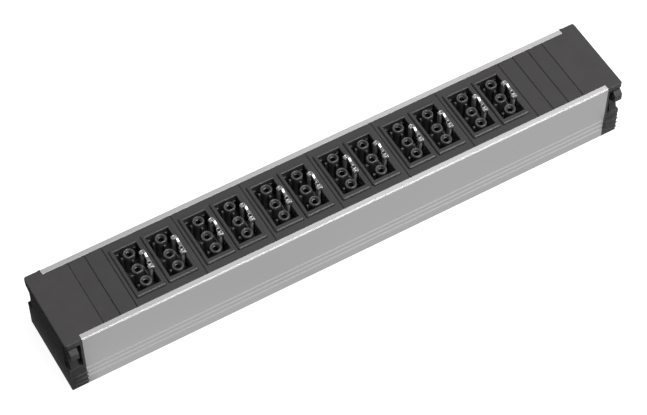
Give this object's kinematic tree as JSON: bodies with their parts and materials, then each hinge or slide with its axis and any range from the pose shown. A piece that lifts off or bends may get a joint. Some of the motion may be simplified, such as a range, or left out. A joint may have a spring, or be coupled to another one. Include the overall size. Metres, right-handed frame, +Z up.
{
  "type": "rack power distribution unit",
  "caption": "Rack power distribution unit: aluminium channel with black end caps, a row of installation sockets with sprung locking latches, and blanking strips.",
  "frame": {"origin": "bottom centre of the whole unit, on the face it stands on", "axes": "+X along the channel towards the end cap with the supply inlet, +Y across the channel, +Z up out of the socket face"},
  "size_m": [0.3672, 0.0582, 0.05],
  "materials": {
    "aluminium_profile": "satin anodised extrusion",
    "socket_plastic": "fine moulded texture, black",
    "insert_plastic": "fine moulded texture, black",
    "cap_plastic": "fine moulded texture, black",
    "latch_steel": "bright stainless steel",
    "spring_steel": "spring steel strip",
    "brass_contacts": "bright brass",
    "inner_plastic": "natural moulding",
    "screw_steel": "plated steel",
    "rubber": "soft black rubber"
  },
  "bodies": {
    "chassis": {"blanking_strip_1": "insert_plastic", "blanking_strip_2": "insert_plastic", "blanking_strip_3": "insert_plastic", "blanking_strip_4": "insert_plastic", "blanking_strip_5": "insert_plastic", "busbar_supports": "inner_plastic", "cord_clamp_bar": "inner_plastic", "cord_clamp_base": "inner_plastic", "cord_clamp_screws": "screw_steel", "earth_busbar": "brass_contacts", "earth_contacts": "brass_contacts", "end_cap_left": "cap_plastic", "end_cap_right": "cap_plastic", "inlet_grommet": "rubber", "latch_springs": "spring_steel", "line_busbar": "brass_contacts", "line_contacts": "brass_contacts", "neutral_busbar": "brass_contacts", "neutral_contacts": "brass_contacts", "profile": "aluminium_profile", "socket_1": "socket_plastic", "socket_10": "socket_plastic", "socket_11": "socket_plastic", "socket_12": "socket_plastic", "socket_2": "socket_plastic", "socket_3": "socket_plastic", "socket_4": "socket_plastic", "socket_5": "socket_plastic", "socket_6": "socket_plastic", "socket_7": "socket_plastic", "socket_8": "socket_plastic", "socket_9": "socket_plastic", "socket_carrier_1": "insert_plastic", "socket_carrier_2": "insert_plastic", "socket_carrier_3": "insert_plastic", "socket_carrier_4": "insert_plastic", "socket_carrier_5": "insert_plastic", "socket_carrier_6": "insert_plastic", "terminal_block": "inner_plastic", "terminal_screws": "screw_steel"},
    "latch_body_1": {"latch_1": "latch_steel"},
    "latch_body_2": {"latch_2": "latch_steel"},
    "latch_body_3": {"latch_3": "latch_steel"},
    "latch_body_4": {"latch_4": "latch_steel"},
    "latch_body_5": {"latch_5": "latch_steel"},
    "latch_body_6": {"latch_6": "latch_steel"},
    "latch_body_7": {"latch_7": "latch_steel"},
    "latch_body_8": {"latch_8": "latch_steel"},
    "latch_body_9": {"latch_9": "latch_steel"},
    "latch_body_10": {"latch_10": "latch_steel"},
    "latch_body_11": {"latch_11": "latch_steel"},
    "latch_body_12": {"latch_12": "latch_steel"}
  },
  "joints": [
    {"name": "latch_hinge_1", "type": "hinge", "parent": "chassis", "child": "latch_body_1", "pos_m": [-0.1199, 0.0007, 0.0342], "axis": [0, 1, 0], "range_deg": [0, 4], "stiffness_Nm_per_rad": 0.02, "springref_deg": -11.46},
    {"name": "latch_hinge_2", "type": "hinge", "parent": "chassis", "child": "latch_body_2", "pos_m": [-0.0998, 0.0007, 0.0342], "axis": [0, 1, 0], "range_deg": [0, 4], "stiffness_Nm_per_rad": 0.02, "springref_deg": -11.46},
    {"name": "latch_hinge_3", "type": "hinge", "parent": "chassis", "child": "latch_body_3", "pos_m": [-0.0759, 0.0007, 0.0342], "axis": [0, 1, 0], "range_deg": [0, 4], "stiffness_Nm_per_rad": 0.02, "springref_deg": -11.46},
    {"name": "latch_hinge_4", "type": "hinge", "parent": "chassis", "child": "latch_body_4", "pos_m": [-0.0558, 0.0007, 0.0342], "axis": [0, 1, 0], "range_deg": [0, 4], "stiffness_Nm_per_rad": 0.02, "springref_deg": -11.46},
    {"name": "latch_hinge_5", "type": "hinge", "parent": "chassis", "child": "latch_body_5", "pos_m": [-0.0319, 0.0007, 0.0342], "axis": [0, 1, 0], "range_deg": [0, 4], "stiffness_Nm_per_rad": 0.02, "springref_deg": -11.46},
    {"name": "latch_hinge_6", "type": "hinge", "parent": "chassis", "child": "latch_body_6", "pos_m": [-0.0118, 0.0007, 0.0342], "axis": [0, 1, 0], "range_deg": [0, 4], "stiffness_Nm_per_rad": 0.02, "springref_deg": -11.46},
    {"name": "latch_hinge_7", "type": "hinge", "parent": "chassis", "child": "latch_body_7", "pos_m": [0.0121, 0.0007, 0.0342], "axis": [0, 1, 0], "range_deg": [0, 4], "stiffness_Nm_per_rad": 0.02, "springref_deg": -11.46},
    {"name": "latch_hinge_8", "type": "hinge", "parent": "chassis", "child": "latch_body_8", "pos_m": [0.0322, 0.0007, 0.0342], "axis": [0, 1, 0], "range_deg": [0, 4], "stiffness_Nm_per_rad": 0.02, "springref_deg": -11.46},
    {"name": "latch_hinge_9", "type": "hinge", "parent": "chassis", "child": "latch_body_9", "pos_m": [0.0561, 0.0007, 0.0342], "axis": [0, 1, 0], "range_deg": [0, 4], "stiffness_Nm_per_rad": 0.02, "springref_deg": -11.46},
    {"name": "latch_hinge_10", "type": "hinge", "parent": "chassis", "child": "latch_body_10", "pos_m": [0.0762, 0.0007, 0.0342], "axis": [0, 1, 0], "range_deg": [0, 4], "stiffness_Nm_per_rad": 0.02, "springref_deg": -11.46},
    {"name": "latch_hinge_11", "type": "hinge", "parent": "chassis", "child": "latch_body_11", "pos_m": [0.1001, 0.0007, 0.0342], "axis": [0, 1, 0], "range_deg": [0, 4], "stiffness_Nm_per_rad": 0.02, "springref_deg": -11.46},
    {"name": "latch_hinge_12", "type": "hinge", "parent": "chassis", "child": "latch_body_12", "pos_m": [0.1202, 0.0007, 0.0342], "axis": [0, 1, 0], "range_deg": [0, 4], "stiffness_Nm_per_rad": 0.02, "springref_deg": -11.46}
  ]
}
